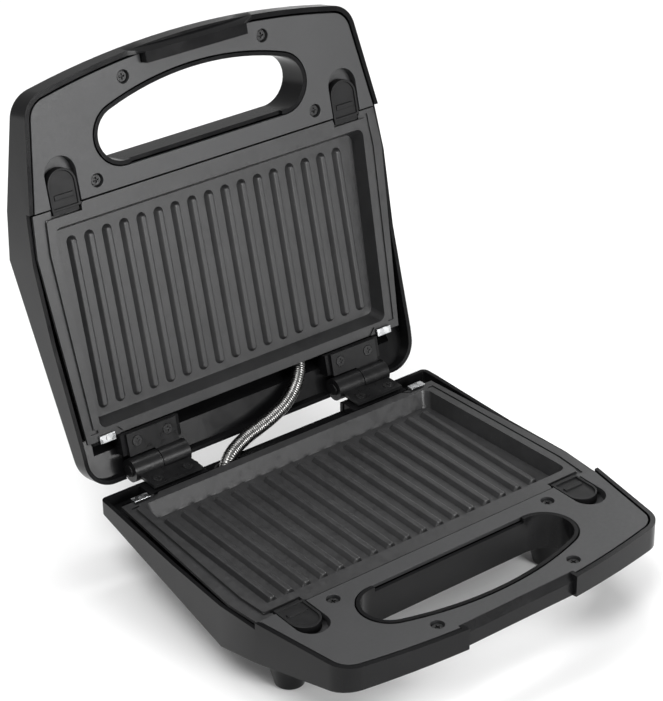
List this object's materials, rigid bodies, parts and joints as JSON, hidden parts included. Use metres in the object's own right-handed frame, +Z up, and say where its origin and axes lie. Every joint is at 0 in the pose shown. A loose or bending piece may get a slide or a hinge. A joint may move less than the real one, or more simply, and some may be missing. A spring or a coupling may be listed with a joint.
{
  "type": "panini press",
  "caption": "Hinged sandwich press, open: ribbed removable grill plates in a base and lid of equal outline, each with a handle opening and sliding plate latches.",
  "frame": {"origin": "centre of the bounding box at the foot pads' lowest face, with the lid open and the conduit included in the box", "axes": "+Z up, -Y toward the front where the handles are, +X to the user's right; the hinge axis runs along X"},
  "size_m": [0.265, 0.3262, 0.3085],
  "materials": {
    "shell": "gloss black moulded plastic",
    "panel": "satin dark grey moulded plastic",
    "plate": "die-cast aluminium with a speckled dark non-stick coating",
    "latch": "matte black moulded plastic",
    "hinge": "black satin painted steel",
    "pin": "blackened steel",
    "screw": "black oxide steel",
    "galvanised": "bright galvanised sheet steel",
    "aluminised": "aluminised thin sheet",
    "element": "heat-tinted steel tube",
    "spring": "bright spring steel",
    "conduit": "bright coil-wound steel",
    "grommet": "black rubber",
    "pad": "black rubber",
    "terminal": "off-white insulating plastic",
    "lens": "translucent coloured plastic"
  },
  "bodies": {
    "base": {"base_shell": "shell", "base_front_panel": "panel", "base_grill_plate": "plate", "base_plate_carrier": "galvanised", "base_reflector": "aluminised", "base_heating_element": "element", "base_thermostat": "aluminised", "thermal_fuse": "aluminised", "terminal_block": "terminal", "base_latch_spring_left": "spring", "base_latch_spring_right": "spring", "base_plate_tabs": "galvanised", "base_panel_screws": "screw", "base_hinge_leaf_left": "hinge", "base_hinge_leaf_right": "hinge", "hinge_pin_left": "pin", "hinge_pin_right": "pin", "base_hinge_screws": "screw", "cord_gland": "grommet", "conduit": "conduit", "base_conduit_grommet": "grommet", "foot_pads": "pad"},
    "lid": {"lid_shell": "shell", "lid_front_panel": "panel", "lid_grill_plate": "plate", "lid_plate_carrier": "galvanised", "lid_reflector": "aluminised", "lid_heating_element": "element", "lid_thermostat": "aluminised", "lid_latch_spring_left": "spring", "lid_latch_spring_right": "spring", "lid_plate_tabs": "galvanised", "lid_panel_screws": "screw", "lid_hinge_leaf_left": "hinge", "lid_hinge_leaf_right": "hinge", "lid_hinge_screws": "screw", "lid_conduit_grommet": "grommet", "lid_indicator_lenses": "lens"},
    "base_latch_left": {"base_latch_left": "latch"},
    "base_latch_right": {"base_latch_right": "latch"},
    "lid_latch_left": {"lid_latch_left": "latch"},
    "lid_latch_right": {"lid_latch_right": "latch"}
  },
  "joints": [
    {"name": "lid_hinge", "type": "hinge", "parent": "base", "child": "lid", "pos_m": [0, 0.0876, 0.064], "axis": [1, 0, 0], "range_deg": [0, 103.4], "deforming": ["conduit"]},
    {"name": "base_latch_left_slide", "type": "slide", "parent": "base", "child": "base_latch_left", "axis": [0, -1, 0], "range_m": [0, 0.0065], "stiffness_N_per_m": 450, "springref_m": -0.002, "deforming": ["base_latch_spring_left"]},
    {"name": "base_latch_right_slide", "type": "slide", "parent": "base", "child": "base_latch_right", "axis": [0, -1, 0], "range_m": [0, 0.0065], "stiffness_N_per_m": 450, "springref_m": -0.002, "deforming": ["base_latch_spring_right"]},
    {"name": "lid_latch_left_slide", "type": "slide", "parent": "lid", "child": "lid_latch_left", "axis": [0, 0.2317, 0.9728], "range_m": [0, 0.0065], "stiffness_N_per_m": 450, "springref_m": -0.002, "deforming": ["lid_latch_spring_left"]},
    {"name": "lid_latch_right_slide", "type": "slide", "parent": "lid", "child": "lid_latch_right", "axis": [0, 0.2317, 0.9728], "range_m": [0, 0.0065], "stiffness_N_per_m": 450, "springref_m": -0.002, "deforming": ["lid_latch_spring_right"]}
  ]
}
